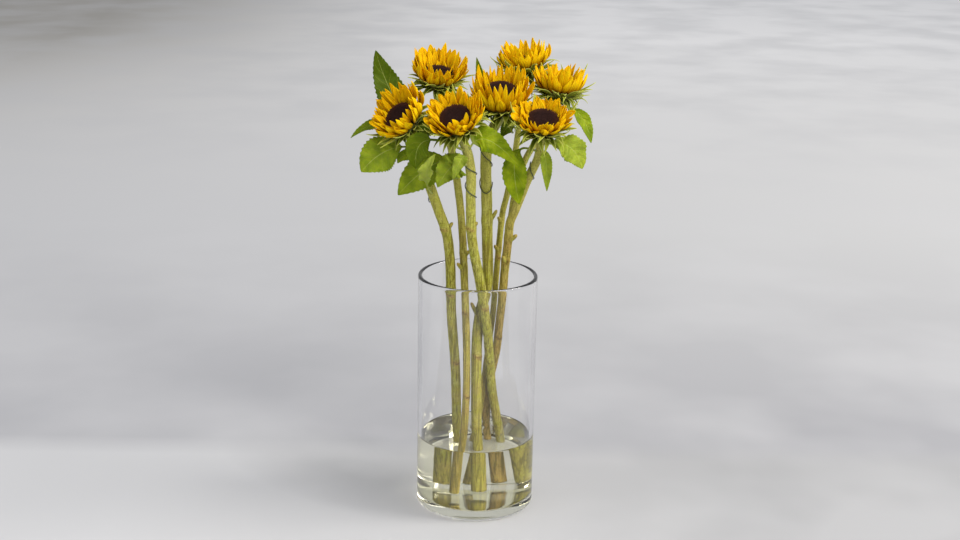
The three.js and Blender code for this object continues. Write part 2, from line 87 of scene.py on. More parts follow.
def fill(node, **given):
    """Gives a node its settings, by lower-case names, and its inputs, each a value or a link."""
    for name, value in given.items():
        if name[0].islower():
            setattr(node, name, value)
            continue
        socket = node.inputs[int(name[1:]) if name[0] == "_" else name.replace("_", " ")]
        if isinstance(value, bpy.types.Node):
            value = next(output for output in value.outputs if output.enabled)
        if isinstance(value, bpy.types.NodeSocket):
            node.id_data.links.new(value, socket)
        else:
            socket.default_value = linear(value) if isinstance(value, str) else value
    return node


def add_node(material, kind, **given):
    """Adds a node of a kind to a material and fills it in."""
    return fill(material.node_tree.nodes.new(f"ShaderNode{kind}"), **given)


def shader(material):
    """The Principled shader that a material ends in."""
    return material.node_tree.nodes["Principled BSDF"]


def new_material(name, **given):
    """A material with one Principled shader, whose inputs are filled in."""
    material = bpy.data.materials.new(name)
    material.use_nodes = True
    fill(shader(material), **given)
    return material


def arc(centre, radius, start, end, steps):
    """Points of an arc in the lathe's plane, with its angles in degrees."""
    angles = np.radians(np.linspace(start, end, steps + 1))
    return [(centre[0] + radius * math.cos(a), centre[1] + radius * math.sin(a)) for a in angles]


def turned(profile, sides=LATHE_SIDES):
    """A lathe-turned body, closed at the axis below and above, from the outline between them."""
    angles = np.arange(sides) * 2 * np.pi / sides
    points = [(0, 0, profile[0][1])]
    points += [(r * math.cos(a), r * math.sin(a), z) for r, z in profile[1:-1] for a in angles]
    points += [(0, 0, profile[-1][1])]
    last = len(points) - 1 - sides
    faces = []
    for k in range(sides):
        k2 = (k + 1) % sides
        faces += [(0, 1 + k2, 1 + k), (last + k, last + k2, last + sides)]
        faces += [(i + k, i + k2, i + sides + k2, i + sides + k) for i in range(1, last, sides)]
    return {"points": np.array(points), "faces": faces}


def make_piece(name, parts, material, nodes):
    """One piece from its parts' points and faces. It rides on the root body in place of CAD nodes."""
    points = np.concatenate([part["points"] for part in parts]) * MM
    faces = []
    start = 0
    for part in parts:
        faces += [tuple(start + i for i in face) for face in part["faces"]]
        start += len(part["points"])
    mesh = bpy.data.meshes.new(name)
    mesh.from_pydata(points.tolist(), [], faces)
    mesh.polygons.foreach_set("use_smooth", [True] * len(faces))
    for key in ("tone", "side"):
        if key in parts[0]:
            values = np.concatenate([np.broadcast_to(part[key], len(part["points"])) for part in parts])
            mesh.attributes.new(key, "FLOAT", "POINT").data.foreach_set("value", values.astype(float))
    if "uv" in parts[0]:
        corners = np.empty(len(mesh.loops), dtype=int)
        mesh.loops.foreach_get("vertex_index", corners)
        per_point = np.concatenate([part["uv"] for part in parts])
        mesh.uv_layers.new(name="grain").data.foreach_set("uv", per_point[corners].ravel())
    mesh.materials.append(material)
    piece = bpy.data.objects.new(name, mesh)
    bpy.context.collection.objects.link(piece)
    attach(piece, "root")
    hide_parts(*nodes)
    return piece


# Each flat or straight stretch has a ring just inside its ends, which keeps its shading true.
EDGE = 0.5
inner = VASE_RADIUS - VASE_WALL
lip = VASE_HEIGHT - VASE_WALL
vase_outline = (
    [(0, 0), (VASE_RADIUS - HEEL - EDGE, 0)]
    + arc((VASE_RADIUS - HEEL, HEEL), HEEL, -90, 0, ROUNDING_STEPS)
    + [(VASE_RADIUS, z) for z in np.linspace(HEEL + EDGE, lip, WALL_RINGS)]
    + arc((VASE_RADIUS - VASE_WALL / 2, VASE_HEIGHT - VASE_WALL / 2), VASE_WALL / 2, 0, 180, LIP_STEPS)
    + [(inner, z) for z in np.linspace(lip, VASE_BASE + FLOOR_FILLET + EDGE, WALL_RINGS)]
    + arc((inner - FLOOR_FILLET, VASE_BASE + FLOOR_FILLET), FLOOR_FILLET, 0, -90, ROUNDING_STEPS)
    + [(inner - FLOOR_FILLET - EDGE, VASE_BASE), (0, VASE_BASE)]
)
clear_glass = new_material(
    "polished soda-lime glass", Base_Color=GLASS_TINT, Transmission_Weight=1, IOR=GLASS_IOR, Roughness=0,
)
glass_vase = make_piece("glass_vase", [turned(vase_outline)], clear_glass, ["vase"])

# The water stands in the vase about a third of the way up. Its surface climbs a little where it
# meets the glass and each stem, and it wets the glass, so no air shows between the two.
WATER_LEVEL = 92
WATER_IOR = 1.333
WATER_TINT = "#faf9e2"
WETTING = 0.15
CLIMB_HEIGHT = 1.4
CLIMB_WIDTH = 1.3
SURFACE_RINGS = 40
CUP_DEPTH = 17
CURVE_STEPS = 24
STEM_RINGS = 220

# Each bloom's place, the way it faces, how far its petals spread and rise, the height of its disc,
# and the middle line of its stem from the foot up. The last grows on a side branch.
FLOWERS = [
    dict(
        name="left", seed=11, at=(-92, -25, 502), facing=(-0.56, -0.52, 0.645),
        spread=33.48, rise=33.48, disc=14, stem_radius=6.2,
        stem=(
            (-23, 48, 6), (-25, 35, 92), (-27.5, 27, 170), (-33.5, 20, 250), (-34.5, 10, 304),
            (-36.5, 6, 332), (-40.5, 1, 359), (-50, -5, 387), (-59, -10, 414), (-72, -14, 452),
            (-82, -16, 492),
        ),
    ),
    dict(
        name="back_left", seed=23, at=(-52.5, 28, 546), facing=(0.09, -0.32, 0.943),
        spread=34.56, rise=32.55, disc=10, stem_radius=4.7,
        stem=(
            (-19, 6, 6), (-14.5, 1, 92), (-12.2, 0, 150), (-12.7, 1, 203), (-15.4, 5, 265),
            (-17.5, 9, 304), (-19.7, 13, 343), (-23, 16, 382), (-29, 19, 425), (-38, 23, 470),
            (-47, 29, 502), (-55, 34, 527),
        ),
    ),
    dict(
        name="front", seed=37, at=(-28, -50, 505.5), facing=(-0.2, -0.57, 0.797),
        spread=32.93, rise=29.12, disc=14, stem_radius=6,
        stem=(
            (35, 50, 6), (29, 37, 92), (21, 29, 140), (14, 10, 220), (7, -1, 269), (0, -10, 310),
            (-5.6, -16, 338), (-9, -22, 366), (-10.3, -30, 407), (-10.6, -37, 442), (-15, -41, 468),
            (-24, -41, 490),
        ),
    ),
    dict(
        name="centre", seed=41, at=(24, -2, 520), facing=(-0.02, -0.34, 0.94),
        spread=34.34, rise=44.07, disc=23.5, stem_radius=6.8,
        stem=(
            (4, 21, 6), (1.5, 17, 92), (0.5, 17, 140), (0, 17, 198), (1.5, 18, 231), (5.8, 18, 257),
            (11, 16, 279), (12.3, 14, 303), (11, 12, 346), (9.3, 8, 398), (7.4, 5, 443), (8.5, 3, 469),
            (15, 3, 488), (23, 4, 503),
        ),
    ),
    dict(
        name="back", seed=53, at=(53.5, 61, 556), facing=(-0.13, -0.03, 0.991),
        spread=30.94, rise=33.28, disc=12, stem_radius=3.8,
        stem=(
            (-6, 50, 6), (4, 40, 92), (10, 35, 148), (15.6, 36, 200), (20.8, 38, 246), (23.7, 37, 297),
            (26.7, 39, 339), (30.3, 42, 376), (35, 44, 396), (43, 50, 440), (48.4, 55, 484),
            (53, 60, 536),
        ),
    ),
    dict(
        name="right", seed=67, at=(74, -45, 504), facing=(0.02, -0.42, 0.907),
        spread=32.04, rise=22.44, disc=12, stem_radius=5.3,
        stem=(
            (17, 58, 6), (14, 49, 92), (18, 41.5, 148), (26, 34, 194), (28.3, 28, 225), (31.2, 20, 262),
            (32.8, 16, 290), (34.5, 12, 318), (37, 6, 346), (39, -1, 373), (44, -5, 387),
            (54, -13, 417), (61, -20, 437), (70, -30, 461), (73, -37, 488),
        ),
    ),
    dict(
        name="back_right", seed=79, at=(96.5, 24, 533.5), facing=(0.07, -0.02, 0.997),
        spread=30.94, rise=34.72, disc=12, stem_radius=3.8, forks_from="right",
        stem=(
            (38, 0, 365), (42.5, 4, 399), (47.6, 10, 424), (56, 16, 448), (66.6, 20, 467),
            (83, 24, 498), (97, 26, 519),
        ),
    ),
]


def draw(n):
    """A fixed pseudo-random number from 0 to 1 for a whole number."""
    wave = math.sin(n * 12.9898 + 78.233) * 43758.5453
    return wave - math.floor(wave)


def smooth_line(points, count):
    """Evenly spaced points on a centripetal Catmull-Rom curve through the given points."""
    p = np.array(points, float)
    p = np.concatenate([[2 * p[0] - p[1]], p, [2 * p[-1] - p[-2]]])
    fine = []
    for a, b, c, d in zip(p[:-3], p[1:-2], p[2:-1], p[3:]):
        t1 = np.linalg.norm(b - a) ** 0.5
        t2 = t1 + np.linalg.norm(c - b) ** 0.5
        t3 = t2 + np.linalg.norm(d - c) ** 0.5
        t = np.linspace(t1, t2, CURVE_STEPS, endpoint=False)[:, None]
        ab = (t1 - t) / t1 * a + t / t1 * b
        bc = (t2 - t) / (t2 - t1) * b + (t - t1) / (t2 - t1) * c
        cd = (t3 - t) / (t3 - t2) * c + (t - t2) / (t3 - t2) * d
        left = (t2 - t) / t2 * ab + t / t2 * bc
        right = (t3 - t) / (t3 - t1) * bc + (t - t1) / (t3 - t1) * cd
        fine.append((t2 - t) / (t2 - t1) * left + (t - t1) / (t2 - t1) * right)
    fine = np.concatenate(fine + [p[-2:-1]])
    reached = np.concatenate([[0], np.cumsum(np.linalg.norm(np.diff(fine, axis=0), axis=1))])
    wanted = np.linspace(0, reached[-1], count)
    return np.stack([np.interp(wanted, reached, fine[:, k]) for k in range(3)], axis=1)


def unit(vectors):
    """Vectors along the last axis, brought to a length of 1."""
    return vectors / np.linalg.norm(vectors, axis=-1, keepdims=True)


def stem_line(flower, count=STEM_RINGS):
    """The middle line of a stem, which ends inside the cup of its head."""
    end = np.array(flower["at"]) - unit(np.array(flower["facing"])) * CUP_DEPTH / 2
    return smooth_line([*flower["stem"], end], count)


water_feet = []
for flower in FLOWERS:
    if "forks_from" not in flower:
        line = stem_line(flower)
        at_surface = line[np.argmin(abs(line[:, 2] - WATER_LEVEL))]
        water_feet.append((at_surface[:2], flower["stem_radius"]))

water_wall = inner + WETTING
water_floor = VASE_BASE - WETTING
fillet_top = water_floor + FLOOR_FILLET
water_outline = (
    [(0, water_floor), (water_wall - FLOOR_FILLET - EDGE, water_floor)]
    + arc((water_wall - FLOOR_FILLET, fillet_top), FLOOR_FILLET, -90, 0, ROUNDING_STEPS)
    + [(water_wall, fillet_top + EDGE), (water_wall, WATER_LEVEL / 2 + 4)]
    + [(water_wall, WATER_LEVEL - drop) for drop in (1, 0.2, 0)]
    + [(water_wall * (1 - (k / SURFACE_RINGS) ** 1.5), WATER_LEVEL) for k in range(1, SURFACE_RINGS)]
    + [(0, WATER_LEVEL)]
)
water_body = turned(water_outline)
for p in water_body["points"]:
    if p[2] >= WATER_LEVEL:
        gaps = [water_wall - math.hypot(p[0], p[1])]
        gaps += [abs(math.hypot(*(p[:2] - foot)) - radius) for foot, radius in water_feet]
        p[2] += CLIMB_HEIGHT * sum(math.exp(-gap / CLIMB_WIDTH) for gap in gaps)
clear_water = new_material(
    "still water", Base_Color=WATER_TINT, Transmission_Weight=1, IOR=WATER_IOR, Roughness=0,
)
vase_water = make_piece("vase_water", [water_body], clear_water, ["water"])

# The stems are cut green sunflower stems: round, ribbed lengthwise, covered in short stiff hairs and
# brown flecks, and swollen where leaves were torn off. The oldest have turned tan towards the foot.
STEM_SIDES = 32
RIBS = 9
RIB_RELIEF = 0.018
RIB_TWIST = 0.012
LUMP_SIZE = 14
LUMP_RELIEF = 0.05
NECK_SHARE = 0.1
NECK_SLIMMING = 0.12
STUB_RADIUS = 2.6
STUB_SIDES = 12
STUB_SWELLING = 0.09
SWELLING_HEIGHT = 5
SCAR_RELIEF = 0.09
SCAR_HEIGHT = 1.9
SCAR_SLANT = 1.5
SCAR_SIDES = (125, 60, 40)
FOOT_LEVEL = VASE_BASE + 0.3
TOP_FROM = 340
STEM_TAN = dict(
    left=0.2, back_left=0.5, front=0.12, centre=0.22, back=0.42, right=0.75, back_right=0.45,
)
# The heights of the leaf scars on each stem.
SCARS = dict(
    left=(179, 274, 363), back_left=(142, 252), front=(261, 370), centre=(191,), back=(317,),
    right=(213, 322),
)
PATCH_SIZE = 16
MOTTLE_SIZE = 7
STREAK_SIZE = 1.8
FLECK_SIZE = 0.9
GRIT_SIZE = 0.8
HAIR_LENGTH = 1.1
HAIR_WIDTH = 0.09
HAIR_ROOT = 0.15
HAIRS_PER_STEM = 1500
HAIR_TONE = -0.3
# This tone paints the cup under each head dark, as painted shade.
CUP_SHADE_TONE = -1.0

# The torn leaf stalks on each stem, each with its root and its end.
STUBS = dict(
    left=(
        ((-41, 0, 359), (-32.5, -3, 370)),
        ((-34, 11, 276), (-43, 4, 283)),
    ),
    back_left=(
        ((-18, 11, 325), (-11.5, 5, 332)),
        ((-18, 9, 307), (-26, 4, 316)),
    ),
    front=(
        ((-11, -22, 367), (-2, -26, 377)),
    ),
    centre=(
        ((0, 16, 247), (-8, 9, 263)),
        ((4, 15, 247), (6, 8, 262)),
        ((12, 12, 368), (22, 9, 384)),
    ),
    back=(
        ((29, 41, 360), (24.5, 33, 369)),
        ((26, 38, 325), (20.5, 33, 332)),
    ),
    right=(
        ((39, 4, 348), (47.5, 0, 355)),
        ((36, 10, 318), (30, 3, 326)),
    ),
)


def square_to(along):
    """Two ways square to each direction of a line: to the side, and to the front or back."""
    sideways = unit(np.cross(along, (0, 1, 0)))
    return sideways, np.cross(along, sideways)


def tube(line, radii, sides, tone=0.0):
    """A closed round tube along a line, with a radius for each point, or for each point and side."""
    first, second = square_to(unit(np.gradient(line, axis=0)))
    angles = np.arange(sides) * 2 * np.pi / sides
    rings = first[:, None] * np.cos(angles)[None, :, None]
    rings += second[:, None] * np.sin(angles)[None, :, None]
    radii = np.broadcast_to(np.asarray(radii, float).reshape(len(line), -1), (len(line), sides))
    points = line[:, None] + rings * radii[:, :, None]
    index = np.arange(len(line) * sides).reshape(len(line), sides)
    ahead = np.roll(index, -1, axis=1)
    quads = np.stack([index[:-1], index[1:], ahead[1:], ahead[:-1]], axis=-1).reshape(-1, 4)
    faces = [tuple(q) for q in quads.tolist()]
    ends = len(line) * sides
    faces += [(ends, int(a), int(b)) for a, b in zip(index[0], ahead[0])]
    faces += [(ends + 1, int(b), int(a)) for a, b in zip(index[-1], ahead[-1])]
    points = np.concatenate([points.reshape(-1, 3), line[:1], line[-1:]])
    tones = np.broadcast_to(np.asarray(tone, float).T, (sides, len(line))).T.ravel()
    return {"points": points, "faces": faces, "tone": np.append(tones, [tones[0], tones[-1]])}


def stem_skin(flower):
    """A stem's tube, its ribs and lumps, and how tan it is at each place."""
    line = stem_line(flower)
    line = line[line[:, 2] > FOOT_LEVEL]
    angles = np.arange(STEM_SIDES) * 2 * np.pi / STEM_SIDES
    relief = np.ones((len(line), STEM_SIDES))
    seed = flower["seed"]
    for i, p in enumerate(line):
        relief[i] += RIB_RELIEF * np.cos(RIBS * angles + RIB_TWIST * p[2] + seed)
        for k, a in enumerate(angles):
            spot = Vector((2 * math.cos(a), 2 * math.sin(a) + seed, p[2] / LUMP_SIZE))
            relief[i, k] += LUMP_RELIEF * noise.noise(spot)
        for start, _ in STUBS.get(flower["name"], ()):
            above = p[2] - start[2] - 3
            relief[i] += STUB_SWELLING * math.exp(-(above / SWELLING_HEIGHT) ** 2)
    scar = np.zeros_like(relief)
    for k, z in enumerate(SCARS.get(flower["name"], ())):
        facing = np.clip(0.15 + np.cos(angles - math.radians(SCAR_SIDES[k])), 0, 1)
        above = line[:, 2, None] - z - SCAR_SLANT * np.sin(2 * angles)
        scar += facing * np.exp(-(above / SCAR_HEIGHT) ** 2)
    relief += SCAR_RELIEF * scar
    neck = np.clip((np.arange(len(line)) / len(line) - (1 - NECK_SHARE)) / NECK_SHARE, 0, 1)
    radii = flower["stem_radius"] * relief * (1 - NECK_SLIMMING * neck[:, None])
    low = np.clip(1 - line[:, 2] / 300, 0, 1)
    top = np.clip((line[:, 2] - TOP_FROM) / 90, 0, 1)
    tan = STEM_TAN[flower["name"]] * (1 - 0.6 * top) + 0.25 * low - 0.3 * neck
    tan = tan[:, None] + 1.5 * scar
    body = tube(line, radii, STEM_SIDES, tan)
    body["points"][:, 2] = np.maximum(body["points"][:, 2], FOOT_LEVEL)
    return body


def torn_stub(start, end):
    """A torn leaf stalk: a short stump, thick where it leaves the stem and ragged at its end."""
    line = np.linspace(start, end, 9)
    line[4:, 2] += np.linspace(0, 1.2, 5)
    share = np.linspace(0, 1, 9)
    angles = np.arange(STUB_SIDES) * 2 * np.pi / STUB_SIDES
    ragged = 1 + 0.16 * np.cos(3 * angles + line[0, 2])[None] * share[:, None]
    radii = STUB_RADIUS * (1.25 - 0.5 * share)[:, None] * ragged
    radii[-1] *= 0.5
    return tube(line, radii, STUB_SIDES, 0.15 + 0.9 * share ** 3)


def hairs(flower):
    """Short stiff hairs that stand on a stem, each a thin three-sided spike."""
    line = stem_line(flower)[8:]
    seed = flower["seed"]
    apart = (7919, 104729, 1299709)
    draws = [[draw(seed * prime + k) for k in range(HAIRS_PER_STEM)] for prime in apart]
    pick, turn, size = np.array(draws)
    turn = turn * 2 * np.pi
    size = (0.5 + size) * HAIR_LENGTH
    at = (pick * (len(line) - 2)).astype(int)
    along = unit(line[at + 1] - line[at])
    first, second = square_to(along)
    out = first * np.cos(turn)[:, None] + second * np.sin(turn)[:, None]
    swing = np.cross(out, along)
    root = line[at] + out * (flower["stem_radius"] - HAIR_ROOT)
    back = root - swing * HAIR_WIDTH * 0.5
    corners = [root + swing * HAIR_WIDTH, back + along * HAIR_WIDTH, back - along * HAIR_WIDTH]
    tips = root + out * size[:, None] + along * (0.35 * size[:, None])
    points = np.stack(corners + [tips], axis=1).reshape(-1, 3)
    faces = []
    for b in range(0, 4 * HAIRS_PER_STEM, 4):
        faces += [(b, b + 1, b + 3), (b + 1, b + 2, b + 3), (b + 2, b, b + 3), (b, b + 2, b + 1)]
    return {"points": points, "faces": faces, "tone": HAIR_TONE}


stem_green = new_material("hairy green stem skin", Roughness=0.6, Specular_IOR_Level=0.18)
add = partial(add_node, stem_green)
place = add("TexCoord").outputs["Object"]
height = add("SeparateXYZ", Vector=place).outputs[2]
tan = add("Attribute", attribute_name="tone").outputs["Fac"]
patches = add("TexNoise", Vector=place, Scale=1 / (PATCH_SIZE * MM), Detail=3)
patchy = add("Math", operation="ADD", _0=tan, _1=patches)
tan_share = add("MapRange", Value=patchy, From_Min=0.55, From_Max=1.45)
mottle = add("TexNoise", Vector=place, Scale=1 / (MOTTLE_SIZE * MM), Detail=4)
mottle = add("MapRange", Value=mottle, From_Min=0.4, From_Max=0.75)
# Below the water line the stems are a more even olive.
under_water = add("MapRange", Value=height, From_Min=97 * MM, From_Max=90 * MM, To_Max=0.5)
streaks = add("Mapping", Vector=place, Scale=(1, 1, 0.03))
streaks = add("TexNoise", Vector=streaks, Scale=1 / (STREAK_SIZE * MM), Detail=2)
streaks = add("MapRange", Value=streaks, From_Min=0.45, From_Max=0.62, To_Max=0.75)
# Painted light: the stems are painted paler towards the top, just under the heads.
painted_light_top = add("MapRange", Value=height, From_Min=TOP_FROM * MM, From_Max=(TOP_FROM + 100) * MM, To_Max=0.5)
greyed = add("MapRange", Value=tan, From_Max=-0.25, To_Max=0.7)
# Painted shade: the cup under each head is painted a dark green.
cup = add("MapRange", Value=tan, From_Min=-0.4, From_Max=CUP_SHADE_TONE, To_Max=0.9)
scarred = add("MapRange", Value=tan, From_Min=1.1, From_Max=1.9, To_Max=0.8)
flecks = add("TexNoise", Vector=place, Scale=1 / (FLECK_SIZE * MM), Detail=1)
flecks = add("MapRange", Value=flecks, From_Min=0.57, From_Max=0.64, To_Max=0.75)
skin = add("Mix", data_type="RGBA", Factor=mottle, _6="#a9ab38", _7="#c6c46c")
for share, colour in (
    (under_water, "#a6ac30"), (tan_share, "#ad944c"), (streaks, "#6a621a"), (painted_light_top, "#d6d269"),
    (greyed, "#b2b286"), (cup, "#4b5412"), (scarred, "#5a4418"), (flecks, "#54431a"),
):
    skin = add("Mix", data_type="RGBA", Factor=share, _6=skin, _7=colour)
grit = add("TexNoise", Vector=place, Scale=1 / (GRIT_SIZE * MM), Detail=3)
relief = add("Bump", Height=grit, Distance=0.25 * MM)
fill(shader(stem_green), Base_Color=skin, Normal=relief)

# The leaves are broad and soft, with saw-toothed edges, a pale midrib and side veins that run out to
# the teeth. Each grows from a stem on a stalk of its own. The upper face is a deep yellow green with a
# faint sheen, and the lower one is paler. Each leaf is also painted lighter or darker as a whole, as
# painted light or painted shade for where it stands.
LEAF_THICKNESS = 0.55
STALK_THICKNESS = 2.2
STALK_HALF_WIDTH = 1.1
TEETH = 19
ROWS_PER_TOOTH = 3
LEAF_COLUMNS = 25
VEIN_PAIRS = 7
VEIN_SLANT = 0.2
TOOTH_DEPTH = 0.13
WAVE = 0.12
RUFFLE = 0.09
PUCKER = 0.06
BLOTCH_SIZE = 12
QUILT_SIZE = 2.5
USUAL_PEAK = 0.33

# Each leaf's tone is painted light and shade: above 0 the leaf is painted paler, as if in light, and below
# 0 darker, as if in shade.
LEAVES = [
    dict(
        name="upper_left", on="left", root=(-78, -9, 484), bend=(-117, 34, 527), tip=(-129, 20, 580),
        width=38, face=(0.1, -1, 0.2), fold=0.15, stalk=0.12, tone=-1.1,
    ),
    dict(
        name="far_left", on="left", root=(-80, -9, 474), bend=(-124, 28, 505), tip=(-158, -4, 476),
        width=18, face=(-0.2, -0.8, 1), fold=0.35, stalk=0.2, tone=-0.4,
    ),
    dict(
        name="broad_left", on="left", root=(-84, -19, 468), bend=(-116, -26, 475), tip=(-143, -32, 440),
        width=44, face=(0, -1, 0.25), fold=0.08, stalk=0.2, peak=0.52, tone=0.15,
    ),
    dict(
        name="small_left", on="left", root=(-80, -20, 458), bend=(-94, -28, 466), tip=(-100, -16, 448),
        width=14, face=(0.2, -1, 0.1), fold=0.3, stalk=0.15,
    ),
    dict(
        name="folded", on="front", root=(-22, -46, 471), bend=(-82, -58, 507), tip=(-76, -50, 449),
        width=31, face=(-0.1, -1, 0.3), fold=0.4, stalk=0.4, peak=0.45, tone=-0.7, crumpled=1.5,
    ),
    dict(
        name="low_left", on="front", root=(-22, -38, 460), bend=(-56, -24, 462), tip=(-99, -28, 411),
        width=42, face=(0, -1, 0.35), fold=0.1, stalk=0.3, peak=0.45, tone=0.1,
    ),
    dict(
        name="curled", on="left", root=(-57, -20, 410), bend=(-72, -78, 444), tip=(-53, -62, 470),
        width=15, face=(-0.3, -1, 0.4), fold=0.5, stalk=0.3, peak=0.45, tone=0.9, crumpled=5,
    ),
    dict(
        name="middle", on="front", root=(-19, -46, 452), bend=(-34, -60, 466), tip=(-50, -56, 428),
        width=34, face=(0, -1, 0.2), fold=0.2, stalk=0.2, tone=0.3, crumpled=6,
    ),
    dict(
        name="small_middle", on="front", root=(-16, -44, 460), bend=(-20, -68, 479), tip=(-32, -66, 440),
        width=15, face=(0, -1, 0.3), fold=0.25, stalk=0.25, peak=0.4, tone=0.5, crumpled=5,
    ),
    dict(
        name="centre_right", on="front", root=(-10, -48, 474), bend=(1, -58, 509), tip=(48, -46, 452),
        width=31, face=(0, -1, 0.3), fold=0.12, stalk=0.15,
    ),
    dict(
        name="long_right", on="right", root=(64, -38, 469), bend=(28, -36, 490), tip=(49, -28, 402),
        width=30, face=(0, -1, 0.1), fold=0.25, stalk=0.3, peak=0.6,
    ),
    dict(
        name="hanging_right", on="right", root=(74, -44, 471), bend=(81, -52, 475), tip=(81, -50, 424),
        width=14, face=(0, -1, 0.1), fold=0.4, stalk=0.2, peak=0.45, tone=0.3, crumpled=1.5,
    ),
    dict(
        name="broad_right", on="right", root=(81, -39, 478), bend=(112, -50, 491), tip=(123, -44, 451),
        width=33, face=(0.1, -0.8, 0.6), fold=0.12, stalk=0.1, peak=0.55, tone=0.4, crumpled=1.6,
    ),
    dict(
        name="far_right", on="back_right", root=(103, 20, 510), bend=(126, 14, 519), tip=(136, 4, 473),
        width=18, face=(0.4, -0.9, 0.3), fold=0.2, stalk=0.3, peak=0.5,
    ),
    dict(
        name="upright", on="centre", root=(15, 10, 494), bend=(2, 32, 530), tip=(-6, 24, 573),
        width=14, face=(0, -1, 0.1), fold=0.3, stalk=0.3, tone=-0.5,
    ),
    dict(
        name="under_centre", on="centre", root=(9, -3, 488), bend=(6, -14, 500), tip=(1, -22, 486),
        width=14, face=(0, -1, 0.6), fold=0.2, stalk=0.25, tone=-0.7,
    ),
    dict(
        name="behind_centre", on="back", root=(44, 49, 478), bend=(36, 40, 495), tip=(26, 34, 472),
        width=20, face=(0, -1, 0.3), fold=0.2, stalk=0.25, tone=-0.9,
    ),
    dict(
        name="behind_left", on="back_left", root=(-47, 20, 478), bend=(-64, 12, 494), tip=(-92, 6, 488),
        width=26, face=(0, -0.8, 0.7), fold=0.15, stalk=0.25, tone=-0.9,
    ),
]


def blade(surface, thickness, tone):
    """A thin closed blade from a grid of points on its middle surface, rows by columns."""
    rows, columns = surface.shape[:2]
    run = np.gradient(surface, axis=0)
    spread = np.gradient(surface, axis=1)
    normal = np.cross(spread, run)
    normal /= np.maximum(np.linalg.norm(normal, axis=2), 1e-9)[:, :, None]
    half = np.broadcast_to(np.asarray(thickness, float).reshape(-1, 1), (rows, columns))[:, :, None] / 2
    points = np.concatenate([surface + normal * half, surface - normal * half]).reshape(-1, 3)
    top = np.arange(rows * columns).reshape(rows, columns)
    under = top + rows * columns
    quads = [
        (top[:-1, :-1], top[:-1, 1:], top[1:, 1:], top[1:, :-1]),
        (under[:-1, :-1], under[1:, :-1], under[1:, 1:], under[:-1, 1:]),
        (top[:-1, 0], top[1:, 0], under[1:, 0], under[:-1, 0]),
        (top[1:, -1], top[:-1, -1], under[:-1, -1], under[1:, -1]),
        (top[0, 1:], top[0, :-1], under[0, :-1], under[0, 1:]),
        (top[-1, :-1], top[-1, 1:], under[-1, 1:], under[-1, :-1]),
    ]
    faces = [tuple(q) for group in quads for q in np.stack([g.ravel() for g in group], axis=1).tolist()]
    v, u = np.meshgrid(np.linspace(0, 1, rows), np.linspace(0, 1, columns), indexing="ij")
    uv = np.stack([u.ravel(), v.ravel()], axis=1)
    count = rows * columns
    return {
        "points": points,
        "faces": faces,
        "uv": np.concatenate([uv, uv]),
        "tone": tone,
        "side": np.concatenate([np.ones(count), np.zeros(count)]),
    }


def leaf_surface(leaf, index):
    """The middle surface of a leaf: a toothed blade along a bent midrib, puckered between veins."""
    flower = next(f for f in FLOWERS if f["name"] == leaf["on"])
    stem = stem_line(flower)
    start = np.array(leaf["root"], float)
    seat = stem[np.argmin(np.linalg.norm(stem - start, axis=1))]
    root = seat + unit(start - seat) * (flower["stem_radius"] * 0.9)
    bend, tip = np.array(leaf["bend"], float), np.array(leaf["tip"], float)
    rows = TEETH * ROWS_PER_TOOTH + 1
    t = np.linspace(0, 1, rows)[:, None]
    rib = (1 - t) ** 2 * root + 2 * t * (1 - t) * bend + t ** 2 * tip
    along = unit(2 * (1 - t) * (bend - root) + 2 * t * (tip - bend))
    side = unit(np.cross(along, leaf["face"]))
    up = np.cross(side, along)
    t = t.ravel()
    share = np.clip((t - leaf["stalk"]) / (1 - leaf["stalk"]), 0, 1)
    swell = np.sin(np.pi * share ** (math.log(0.5) / math.log(leaf.get("peak", USUAL_PEAK)))) ** 0.8
    tooth = np.arange(rows) % ROWS_PER_TOOTH / ROWS_PER_TOOTH - 0.4
    tooth = 1 + TOOTH_DEPTH * tooth * (share > 0.06)
    half = np.maximum(STALK_HALF_WIDTH * (1 - 0.9 * (t > 0.97)), leaf["width"] / 2 * swell * tooth)
    s = np.linspace(-1, 1, LEAF_COLUMNS)
    lean = np.abs(s) ** 1.35
    crumpled = leaf.get("crumpled", 1)
    wave = WAVE * crumpled * np.sin(9 * t + index)[:, None] * s[None]
    ruffle = RUFFLE * crumpled * np.sin(27 * t + 2 * index)[:, None] * (s[None] ** 2) * np.sign(s)[None]
    vein = (share[:, None] - VEIN_SLANT * np.abs(s)[None]) * VEIN_PAIRS
    pucker = PUCKER * np.abs(np.sin(np.pi * vein)) * (1 - s[None] ** 4)
    lift = half[:, None] * (leaf["fold"] * lean[None] + wave + ruffle + pucker)
    surface = rib[:, None] + side[:, None] * (half[:, None] * s[None])[:, :, None]
    return surface + up[:, None] * lift[:, :, None], share


leaf_blades = []
for index, leaf in enumerate(LEAVES):
    surface, share = leaf_surface(leaf, index)
    thinning = (STALK_THICKNESS - LEAF_THICKNESS) * share * 10
    thickness = np.where(share > 0.1, LEAF_THICKNESS, STALK_THICKNESS - thinning)
    leaf_blades.append(blade(surface, thickness, leaf.get("tone", 0)))

